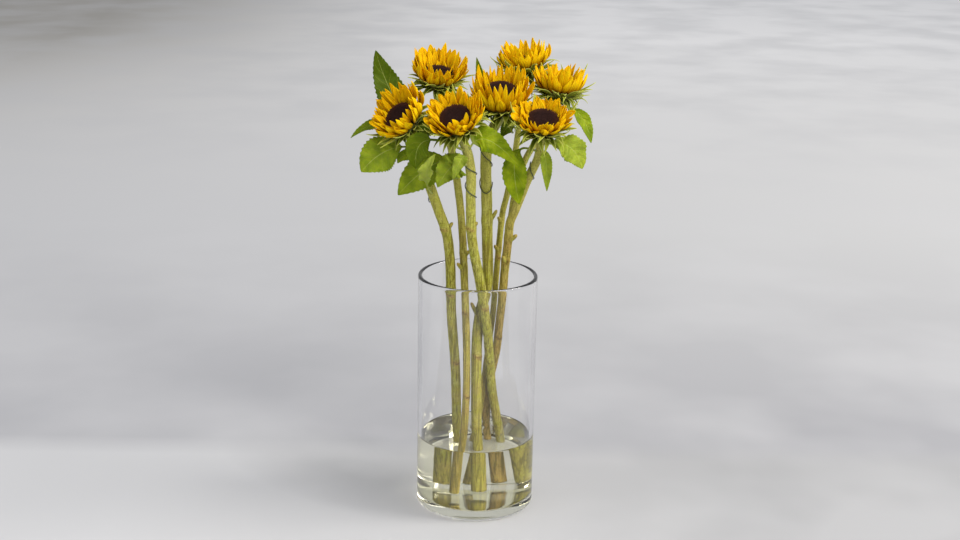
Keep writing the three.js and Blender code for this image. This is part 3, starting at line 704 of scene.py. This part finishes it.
leaf_green = new_material(
    "soft sunflower leaf", Roughness=0.5, Specular_IOR_Level=0.1, Subsurface_Weight=0.2,
    Subsurface_Radius=(0.5, 1.0, 0.1), Subsurface_Scale=1.0 * MM,
)
add = partial(add_node, leaf_green)
place = add("TexCoord").outputs["Object"]
tone = add("Attribute", attribute_name="tone").outputs["Fac"]
side = add("Attribute", attribute_name="side").outputs["Fac"]
grain = add("SeparateXYZ", Vector=add("UVMap", uv_map="grain")).outputs
off_middle = add("Math", operation="MULTIPLY_ADD", _0=grain[0], _1=2, _2=-1)
off_middle = add("Math", operation="ABSOLUTE", _0=off_middle)
slanted = add("Math", operation="MULTIPLY_ADD", _0=off_middle, _1=-VEIN_SLANT, _2=grain[1])
numbered = add("Math", operation="MULTIPLY", _0=slanted, _1=VEIN_PAIRS)
from_vein = add("Math", operation="PINGPONG", _0=numbered, _1=0.5)
side_vein = add("MapRange", Value=from_vein, From_Min=0.008, From_Max=0.045, To_Min=0.35, To_Max=0)
midrib = add("MapRange", Value=off_middle, From_Min=0.01, From_Max=0.036, To_Min=0.5, To_Max=0)
stalk = add("MapRange", Value=grain[1], From_Min=0.1, From_Max=0.25, To_Min=1, To_Max=0)
rib = add("Math", operation="MAXIMUM", _0=midrib, _1=stalk)
blotches = add("TexNoise", Vector=place, Scale=1 / (BLOTCH_SIZE * MM), Detail=4)
blotches = add("MapRange", Value=blotches, From_Min=0.35, From_Max=0.7)
under = add("Math", operation="MULTIPLY_ADD", _0=side, _1=-0.15, _2=0.15)
greens = add("Mix", data_type="RGBA", Factor=blotches, _6="#657b02", _7="#94a414")
# Painted light and painted shade: a leaf's tone paints it paler or darker as a whole.
pale = add("MapRange", Value=tone)
painted_leaf_shade = add("MapRange", Value=tone, From_Max=-1)
for share, colour in (
    (pale, "#a0ad45"), (painted_leaf_shade, "#4c5f05"), (side_vein, "#9aa640"), (rib, "#b3bb66"), (under, "#7f8c2a"),
):
    greens = add("Mix", data_type="RGBA", Factor=share, _6=greens, _7=colour)
quilt = add("TexNoise", Vector=place, Scale=1 / (QUILT_SIZE * MM), Detail=3)
sunken = add("Math", operation="MULTIPLY_ADD", _0=side_vein, _1=-1.5, _2=quilt)
relief = add("Bump", Height=sunken, Distance=0.5 * MM)
fill(shader(leaf_green), Base_Color=greens, Normal=relief)
for leaf, part in zip(LEAVES, leaf_blades):
    name = leaf["name"]
    make_piece(f"leaf_blade_{name}", [part], leaf_green, [f"leaf_{name}"])

# Under each head is a green cup with three rows of bracts: pointed leafy scales with pale hairy
# edges that curl away from the petals. They grow as one body with the stem. The cup and the lower
# rows of bracts are painted darker, as painted shade under the head.
CUP_RADIUS = 20
BRACTS_PER_ROW = 17
BRACT_ROWS = [
    dict(turn=0, reach=1, lift=0.68, curl=-0.3),
    dict(turn=0.5, reach=1, lift=0.4, curl=-0.25),
    dict(turn=0.5, reach=0.95, lift=0.05, curl=-0.1),
]
BRACT_LENGTH = 28
BRACT_WIDTH = 7
BRACT_THICKNESS = 0.5
BRACT_ROOM = 1.6
HEAD_SIDES = 48
UP = np.array([0, 0, 1])
FUZZ_SIZE = 0.6


def head_frame(flower):
    """The turn and place of a head, whose own +Z is the way it faces."""
    turn = Vector((0, 0, 1)).rotation_difference(Vector(flower["facing"]).normalized()).to_matrix()
    return np.array(turn), np.array(flower["at"], float)


def placed(part, flower):
    """A part in a head's own frame, moved to where that head is."""
    turn, at = head_frame(flower)
    part["points"] = part["points"] @ turn.T + at
    return part


def spoke(angle):
    """The ways outward and sideways at an angle round a head, in the head's own frame."""
    out = np.array([math.cos(angle), math.sin(angle), 0])
    return out, np.cross(UP, out)


def bract(flower, row, k):
    """One bract, or none where a leaf leaves it no room. It is a blade that narrows to a fine tip."""
    n = flower["seed"] * 100 + 70 + k + 40 * row
    own = BRACT_ROWS[row]
    angle = 2 * math.pi * (k + own["turn"] + 0.7 * (draw(n) - 0.5)) / BRACTS_PER_ROW
    out, sideways = spoke(angle)
    t = np.linspace(0, 1, 12)
    for length in (BRACT_LENGTH, 0.7 * BRACT_LENGTH, 0.4 * BRACT_LENGTH):
        length *= 0.72 + 0.5 * draw(n + 1000) - 0.1 * row
        lift = own["lift"] + 0.5 * (draw(n + 6000) - 0.5)
        curl = own["curl"] + 0.95 * draw(n + 2000)
        reach = length * (own["reach"] * t - 0.3 * draw(n + 7000) * t ** 3)
        reach += (0.9 - 0.08 * row) * CUP_RADIUS
        height = -4 - 3 * row + length * (lift * t - curl * t ** 2.5)
        sway = 18 * (draw(n + 3000) - 0.5) * t ** 2
        middle = out * reach[:, None] + sideways * sway[:, None] + UP * height[:, None]
        outer = placed({"points": middle}, flower)["points"][4:]
        gaps = np.linalg.norm(outer[:, None] - leaf_points[None, ::3], axis=2)
        if gaps.min() > BRACT_ROOM:
            break
    else:
        return None
    belly = 0.72 + 0.55 * np.sin(np.pi * t ** 0.8)
    half = BRACT_WIDTH / 2 * (0.8 + 0.4 * draw(n + 4000)) * (1 - t) ** 0.75 * belly + 0.12
    s = np.linspace(-1, 1, 5)
    hollow = 0.35 * half[:, None] * (s[None] ** 2)
    surface = middle[:, None] + sideways * (half[:, None] * s[None])[:, :, None] + UP * hollow[:, :, None]
    # The tone varies at random, and the lower rows are painted darker, as painted shade under the head.
    return placed(blade(surface, BRACT_THICKNESS, draw(n + 5000) - 0.25 * row), flower)


leaf_points = np.concatenate([part["points"] for part in leaf_blades])
below = ((0.5, 0.82), (0.72, 0.62), (0.9, 0.36), (0.98, 0.15))
cup_outline = [(0, -CUP_DEPTH), (6, -CUP_DEPTH)]
cup_outline += [(wide * CUP_RADIUS, -deep * CUP_DEPTH) for wide, deep in below]
cup_outline += [(CUP_RADIUS, -1.5), (0.97 * CUP_RADIUS, -0.1), (0.5 * CUP_RADIUS, 0), (0, 0)]
bract_green = new_material(
    "hairy green bract", Roughness=0.65, Specular_IOR_Level=0.1, Subsurface_Weight=0.15,
    Subsurface_Radius=(0.6, 1.0, 0.2), Subsurface_Scale=1.2 * MM,
)
add = partial(add_node, bract_green)
place = add("TexCoord").outputs["Object"]
tone = add("Attribute", attribute_name="tone").outputs["Fac"]
grain = add("SeparateXYZ", Vector=add("UVMap", uv_map="grain")).outputs
off_middle = add("Math", operation="MULTIPLY_ADD", _0=grain[0], _1=2, _2=-1)
off_middle = add("Math", operation="ABSOLUTE", _0=off_middle)
edge = add("MapRange", Value=off_middle, From_Min=0.6, From_Max=1, To_Max=0.8)
towards_tip = add("MapRange", Value=grain[1], From_Min=0.5, From_Max=1, To_Max=0.6)
greens = add("Mix", data_type="RGBA", Factor=tone, _6="#535e08", _7="#b8c240")
for share, colour in ((towards_tip, "#b2b84c"), (edge, "#c6cc66")):
    greens = add("Mix", data_type="RGBA", Factor=share, _6=greens, _7=colour)
fuzz = add("TexNoise", Vector=place, Scale=1 / (FUZZ_SIZE * MM))
relief = add("Bump", Height=fuzz, Distance=0.2 * MM)
fill(shader(bract_green), Base_Color=greens, Normal=relief)

for flower in FLOWERS:
    if "forks_from" in flower:
        continue
    branches = [flower] + [f for f in FLOWERS if f.get("forks_from") == flower["name"]]
    green = []
    scales = []
    for branch in branches:
        green.append(stem_skin(branch))
        green += [torn_stub(*ends) for ends in STUBS.get(branch["name"], ())]
        cup = placed(turned(cup_outline, HEAD_SIDES), branch)
        green.append({**cup, "tone": CUP_SHADE_TONE})
        green.append(hairs(branch))
        for row in range(len(BRACT_ROWS)):
            scales += [bract(branch, row, k) for k in range(BRACTS_PER_ROW)]
    node = f"stem_{flower['name']}"
    make_piece(f"{node}_skin", green, stem_green, [node])
    make_piece(f"{node}_bracts", [part for part in scales if part], bract_green, [node])

# The ray petals stand round the disc in three loose layers and a short fringe: thin satin straps
# with fine grooves along them, narrow at the root, that rise in a cup and roll open at the tips.
# They are orange below, and towards the root the orange deepens to a dark brown that is partly
# the petals' own colour and partly painted shade between the crowded petals.
PETAL_LAYERS = [
    dict(count=23, inset=0, rise=0.76, tuck=0, bowl=2.2, roll=0.3, root=0.8, width=1),
    dict(count=21, inset=3, rise=0.92, tuck=1.5, bowl=1.7, roll=0.18, root=0, width=0.95),
    dict(count=18, inset=7.5, rise=0.94, tuck=4, bowl=1.4, roll=0.1, root=-0.8, width=0.85),
    dict(count=13, inset=11, rise=0.55, tuck=5.5, bowl=1.2, roll=0, root=-1.2, width=0.7),
]
PETAL_WIDTH = 9.8
PETAL_THICKNESS = 0.4
PETAL_ROWS = 18
PETAL_COLUMNS = 9
PETAL_ROOT = 19.2
GROOVE_DEPTH = 0.6
UPPER_LONGER = 0.45
INWARD_LEAN = dict(left=0.1, back_left=0.3, front=0.3, centre=0.3, back=0.8, right=0.2, back_right=0.8)


def petal(flower, layer, k):
    """One ray petal of a layer: 0 is the outermost, and 3 the short fringe beside the disc."""
    n = flower["seed"] * 100 + layer * 50 + k
    own = PETAL_LAYERS[layer]
    angle = 2 * math.pi * (k + 0.37 * layer + 0.8 * (draw(n) - 0.5)) / own["count"]
    out, sideways = spoke(angle)
    t = np.linspace(0, 1, PETAL_ROWS)
    spread = flower["spread"] - PETAL_ROOT
    spread += 8 * (draw(n + 1000) - 0.5) - own["inset"]
    spread *= 1 + UPPER_LONGER * (head_frame(flower)[0] @ out)[2]
    height = flower["rise"] * own["rise"] * (0.74 + 0.34 * draw(n + 2000))
    tuck = INWARD_LEAN[flower["name"]] * own["tuck"]
    bowl = own["bowl"] + 0.7 * (draw(n + 9000) - 0.5)
    roll = own["roll"] * draw(n + 6000)
    reach = PETAL_ROOT + own["root"] - tuck * np.sin(np.pi * t)
    reach += spread * (1 - (1 - t) ** bowl + 0.5 * roll * t ** 3)
    rise = 0.6 + height * (t ** 1.3 - roll * t ** 4) / (1 - 0.6 * roll)
    sway = 12 * (draw(n + 3000) - 0.5) * t ** 2
    half = PETAL_WIDTH / 2 * (0.78 + 0.44 * draw(n + 4000)) * own["width"]
    widen = 0.34 + 0.66 * np.sin(np.pi / 2 * np.clip(t / 0.62, 0, 1)) ** 1.3
    taper = (1 - np.clip((t - 0.4) / 0.6, 0, 1) ** 1.9) ** 0.9
    half = half * widen * taper + 0.15
    slope = np.arctan2(np.gradient(rise), np.gradient(reach))
    inward = out * -np.sin(slope)[:, None] + UP * np.cos(slope)[:, None]
    twist = 1.7 * (draw(n + 5000) - 0.5) * t
    over = sideways * np.cos(twist)[:, None] + inward * np.sin(twist)[:, None]
    s = np.linspace(-1, 1, PETAL_COLUMNS)
    groove = GROOVE_DEPTH * np.cos(3 * np.pi * s)[None]
    groove = groove * np.sin(np.pi * np.clip(t * 0.9 + 0.1, 0, 1))[:, None]
    cupped = (0.5 - 0.75 * t * draw(n + 7000))[:, None] * half[:, None] * (s[None] ** 2)
    middle = out * reach[:, None] + sideways * sway[:, None] + UP * rise[:, None]
    surface = middle[:, None] + over[:, None] * (half[:, None] * s[None])[:, :, None]
    surface += inward[:, None] * (groove + cupped)[:, :, None]
    return placed(blade(surface, PETAL_THICKNESS, draw(n + 8000)), flower)


petal_gold = new_material(
    "golden ray petal", Roughness=0.6, Specular_IOR_Level=0.05, Subsurface_Weight=0.1,
    Subsurface_Radius=(1.0, 0.5, 0.02), Subsurface_Scale=1.5 * MM,
)
add = partial(add_node, petal_gold)
tone = add("Attribute", attribute_name="tone").outputs["Fac"]
side = add("Attribute", attribute_name="side").outputs["Fac"]
grain = add("SeparateXYZ", Vector=add("UVMap", uv_map="grain")).outputs
across = add("Math", operation="MULTIPLY", _0=grain[0], _1=9)
lengthwise = add("Math", operation="MULTIPLY", _0=grain[1], _1=1.2)
own = add("Math", operation="MULTIPLY", _0=tone, _1=37)
spot = add("CombineXYZ", X=across, Y=lengthwise, Z=own)
streaks = add("TexNoise", Vector=spot, Scale=1.3)
streaky = add("MapRange", Value=streaks, From_Min=0.28, From_Max=0.6)
golden = add("Mix", data_type="RGBA", Factor=streaky, _6="#d27c00", _7="#ffe212")
deeper = add("Math", operation="MULTIPLY", _0=tone, _1=0.5)
# Towards the root the petals turn a deep orange brown: partly their own colour, partly painted shade where
# the petals crowd round the disc.
orange_root_and_shade = add("MapRange", Value=grain[1], From_Min=0.02, From_Max=0.66, To_Min=0.97, To_Max=0)
outer = add("Math", operation="MULTIPLY_ADD", _0=side, _1=-0.3, _2=0.3)
for share, colour in ((deeper, "#f2be00"), (orange_root_and_shade, "#8e4300"), (outer, "#d89600")):
    golden = add("Mix", data_type="RGBA", Factor=share, _6=golden, _7=colour)
relief = add("Bump", Height=streaks, Distance=0.5 * MM)
fill(shader(petal_gold), Base_Color=golden, Normal=relief)
for flower in FLOWERS:
    petals = []
    for layer, own in enumerate(PETAL_LAYERS):
        petals += [petal(flower, layer, k) for k in range(own["count"])]
    name = flower["name"]
    make_piece(f"ray_petals_{name}", petals, petal_gold, [f"petals_{name}"])

# The dark disc is a low cushion of hundreds of tiny florets, set in crossing spirals. The outer ones
# stand open and are longer, and the ones in the middle are still closed buds.
DISC_RADIUS = 18.4
DOME_EDGE_DROP = 2.5
DOME_MIDDLE_DIP = 1.4
CUSHION_DEPTH = 0.4
CUSHION_TONE = 0.2
CUSHION_BANDS = (1, 0.97, 0.86, 0.72, 0.56, 0.38, 0.2, 0)
FLORETS = 460
FLORET_SIDES = 5
BUD_SIZE = 1.2
GOLDEN_ANGLE = math.pi * (3 - math.sqrt(5))


def crown(flower, share):
    """The height of a disc's dome at a share of its radius. It dips a little in the middle."""
    return flower["disc"] - DOME_EDGE_DROP * share ** 4 - DOME_MIDDLE_DIP * (1 - share) ** 2


def floret(flower, k):
    """One floret: a small five-sided peg with a pointed top."""
    share = math.sqrt((k + 0.5) / FLORETS)
    radius = (DISC_RADIUS - 0.6) * share
    angle = k * GOLDEN_ANGLE
    tall = 1.1 + 1.3 * share ** 2 + 0.6 * draw(flower["seed"] + 31 * k)
    lean = 1.2 * share ** 2
    wide = 0.62 + 0.12 * share
    out = spoke(angle)[0]
    base = out * radius + UP * (crown(flower, share) - 0.8)
    top = base + out * lean + UP * tall
    turns = np.arange(FLORET_SIDES) * 2 * np.pi / FLORET_SIDES + angle
    ring = np.stack([np.cos(turns), np.sin(turns), 0 * turns], axis=1)
    points = np.concatenate([base + ring * wide, base * 0.35 + top * 0.65 + ring * wide * 0.9, [top]])
    faces = []
    for i in range(FLORET_SIDES):
        j = (i + 1) % FLORET_SIDES
        faces.append((i, j, FLORET_SIDES + j, FLORET_SIDES + i))
        faces.append((FLORET_SIDES + i, FLORET_SIDES + j, 2 * FLORET_SIDES))
    faces.append(tuple(reversed(range(FLORET_SIDES))))
    return {"points": points, "faces": faces, "tone": share}


floret_brown = new_material("dark velvety florets", Roughness=0.8, Specular_IOR_Level=0.2)
add = partial(add_node, floret_brown)
place = add("TexCoord").outputs["Object"]
tone = add("Attribute", attribute_name="tone").outputs["Fac"]
outward = add("MapRange", Value=tone, From_Min=0.6, From_Max=1, To_Max=0.55)
browns = add("Mix", data_type="RGBA", Factor=outward, _6="#2b1714", _7="#5a2f16")
mottle = add("TexNoise", Vector=place, Scale=1 / (BUD_SIZE * MM))
mottle = add("MapRange", Value=mottle, From_Min=0.45, From_Max=0.7, To_Max=0.5)
browns = add("Mix", data_type="RGBA", Factor=mottle, _6=browns, _7="#452620")
fill(shader(floret_brown), Base_Color=browns)
for flower in FLOWERS:
    cushion_outline = [(0, 0.3), (DISC_RADIUS - 1, 0.3), (DISC_RADIUS, 1.2)]
    cushion_outline += [(DISC_RADIUS * b, crown(flower, b) - CUSHION_DEPTH) for b in CUSHION_BANDS]
    cushion = turned(cushion_outline, HEAD_SIDES)
    parts = [{**cushion, "tone": CUSHION_TONE}]
    parts += [floret(flower, k) for k in range(FLORETS)]
    parts = [placed(part, flower) for part in parts]
    name = flower["name"]
    make_piece(f"florets_{name}", parts, floret_brown, [f"disc_{name}"])

# Florist's wire is wound round four of the stems to hold them up: soft iron wire with a dark green
# lacquer, a little proud of the stem, with a free end.
WIRE_RADIUS = 0.6
WIRE_CLEARANCE = 0.5
WIRE_SIDES = 8
STEPS_PER_TURN = 28
WIRE_RINGS = 600

WIRES = [
    dict(on="left", low=401, high=413, turns=0.45, phase=0.35, hang=0),
    dict(on="front", low=411, high=456, turns=1.5, phase=3.1, hang=0),
    dict(on="centre", low=421, high=466, turns=1.5, phase=3.1, hang=12),
    dict(on="right", low=425, high=453, turns=0.75, phase=4.7, hang=0),
]

wire_lacquer = new_material(
    "dark green lacquered wire", Base_Color="#2c3a2a", Roughness=0.4, Coat_Weight=0.2,
)
for wire in WIRES:
    flower = next(f for f in FLOWERS if f["name"] == wire["on"])
    line = stem_line(flower, WIRE_RINGS)
    low, high = (int(np.argmin(abs(line[:, 2] - wire[key]))) for key in ("low", "high"))
    steps = round(wire["turns"] * STEPS_PER_TURN)
    turn = wire["turns"] * np.linspace(0, 1, steps + 1)
    level = 0.5 if wire["hang"] else 0
    rise = np.maximum(0, turn - level) / (wire["turns"] - level)
    hang = np.where(turn < level, wire["hang"] * np.sin(2 * np.pi * turn), 0)
    slopes = np.gradient(line, axis=0)
    at = low + (high - low) * rise - hang / np.linalg.norm(slopes, axis=1).mean()
    rings = np.arange(WIRE_RINGS)
    middle = np.stack([np.interp(at, rings, line[:, k]) for k in range(3)], axis=1)
    along = np.stack([np.interp(at, rings, slopes[:, k]) for k in range(3)], axis=1)
    sideways, front = square_to(unit(along))
    angles = wire["phase"] - 2 * np.pi * turn
    radius = flower["stem_radius"] + WIRE_RADIUS + WIRE_CLEARANCE
    coil = middle + radius * (sideways * np.cos(angles)[:, None] + front * np.sin(angles)[:, None])
    wound = tube(coil, np.full(steps + 1, WIRE_RADIUS), WIRE_SIDES)
    name = flower["name"]
    make_piece(f"lacquered_wire_{name}", [wound], wire_lacquer, [f"wire_{name}"])

# The flowers stand on a plain pale floor in soft light: window-like lamps at the right and at the
# front right, a broad fill from the left and an even pale surround. The floor's colour is painted
# with light and shade: a painted shadow left of the vase, painted shade just behind it and in the far
# left corner, painted gradients from side to side, and painted light that makes it paler further off.
FLOOR_REACH = 14000
FLOOR_DROP = 0.4
BACKDROP_BANDS = ((128, 188), (250, 1400), (1400, 4500))
VASE_SHADOW_AT = (-150, 80, 0)
VASE_SHADOW_SIZE = (240, 120)
CLOUD_SIZE = 350
LAMPS_AIM_AT = (0, 0, 350)
floor_mesh = bpy.data.meshes.new("floor")
reach = FLOOR_REACH * MM
corners = [(-reach, -reach), (reach, -reach), (reach, reach), (-reach, reach)]
floor_mesh.from_pydata([(x, y, -FLOOR_DROP * MM) for x, y in corners], [], [(0, 1, 2, 3)])
floor = bpy.data.objects.new("floor", floor_mesh)
bpy.context.collection.objects.link(floor)
pale_card = new_material("pale grey card", Roughness=0.8, Specular_IOR_Level=0)
add = partial(add_node, pale_card)
place = add("TexCoord").outputs["Object"]
at = add("SeparateXYZ", Vector=place).outputs
# Painted light and shade: near by and in the band behind the vase, the floor is painted darker to the right
# and paler to the left.
leftward = add("MapRange", Value=at[0], From_Min=450 * MM, From_Max=-450 * MM)
greys = add("Mix", data_type="RGBA", Factor=leftward, _6="#a4a5a8", _7="#c9cacd")
wall_greys = add("Mix", data_type="RGBA", Factor=leftward, _6="#a4a5aa", _7="#adaeb3")
far_greys = add("Mix", data_type="RGBA", Factor=leftward, _6="#c6c7c9", _7="#c6c7ca")
# Painted shade in a band just behind the vase, as at the foot of a backdrop, then painted light that makes
# the floor paler further off.
behind, further, distant = (
    add("MapRange", Value=at[1], From_Min=near * MM, From_Max=far * MM) for near, far in BACKDROP_BANDS
)
# Painted shade in the far left corner.
far_left = add("MapRange", Value=at[0], From_Min=-100 * MM, From_Max=-1700 * MM)
painted_corner_shade = add("Math", operation="MULTIPLY", _0=far_left, _1=distant)
# A painted shadow of the vase on the floor, left of it and reaching a little back.
beside = add(
    "Mapping", vector_type="TEXTURE", Vector=place, Location=[c * MM for c in VASE_SHADOW_AT],
    Rotation=(0, 0, -0.6), Scale=[c * MM for c in VASE_SHADOW_SIZE] + [1],
)
painted_vase_shadow = add("TexGradient", gradient_type="SPHERICAL", Vector=beside)
painted_vase_shadow = add("MapRange", Value=painted_vase_shadow, From_Max=0.8, To_Max=0.5)
clouds = add("TexNoise", Vector=place, Scale=1 / (CLOUD_SIZE * MM), Detail=3)
clouds = add("MapRange", Value=clouds, From_Min=0.4, From_Max=0.65, To_Max=0.35)
for share, colour in (
    (behind, wall_greys), (further, far_greys), (distant, "#f8f8f9"), (painted_corner_shade, "#aeaca8"),
    (painted_vase_shadow, "#6e7074"), (clouds, "#cacbce"),
):
    greys = add("Mix", data_type="RGBA", Factor=share, _6=greys, _7=colour)
fill(shader(pale_card), Base_Color=greys)
floor_mesh.materials.append(pale_card)


def soft_lamp(name, at, size, power, colour):
    """A square lamp that points at the middle of the bunch."""
    lamp = bpy.data.objects.new(name, bpy.data.lights.new(name, "AREA"))
    lamp.data.shape = "SQUARE"
    lamp.data.size = size * MM
    lamp.data.energy = power
    lamp.data.color = linear(colour)[:3]
    lamp.location = Vector(at) * MM
    lamp.rotation_euler = (Vector(LAMPS_AIM_AT) - Vector(at)).to_track_quat("-Z", "Y").to_euler()
    lamp.visible_transmission = False
    bpy.context.collection.objects.link(lamp)
    return lamp


# Clear glass and water hold back only a part of the light. So they stop the window at the side, which
# gives the vase its soft shadow, and leave the one in front free to reach the stems inside.
clear_bodies = bpy.data.collections.new("clear bodies")
for piece in (glass_vase, vase_water):
    clear_bodies.objects.link(piece)
for entry in clear_bodies.collection_objects:
    entry.light_linking.link_state = "EXCLUDE"
soft_lamp("side window", (3300, -300, 3000), 1800, 105, "#fffaf2")
front_window = soft_lamp("front window", (1900, -2900, 3200), 2200, 130, "#fffaf2")
front_window.light_linking.blocker_collection = clear_bodies
soft_lamp("left fill", (-2200, -1200, 1200), 2000, 6, "#f4f8ff")
world = bpy.data.worlds.new("pale surround")
world.use_nodes = True
fill(world.node_tree.nodes["Background"], Color="#eeeff2", Strength=0.68)
bpy.context.scene.world = world
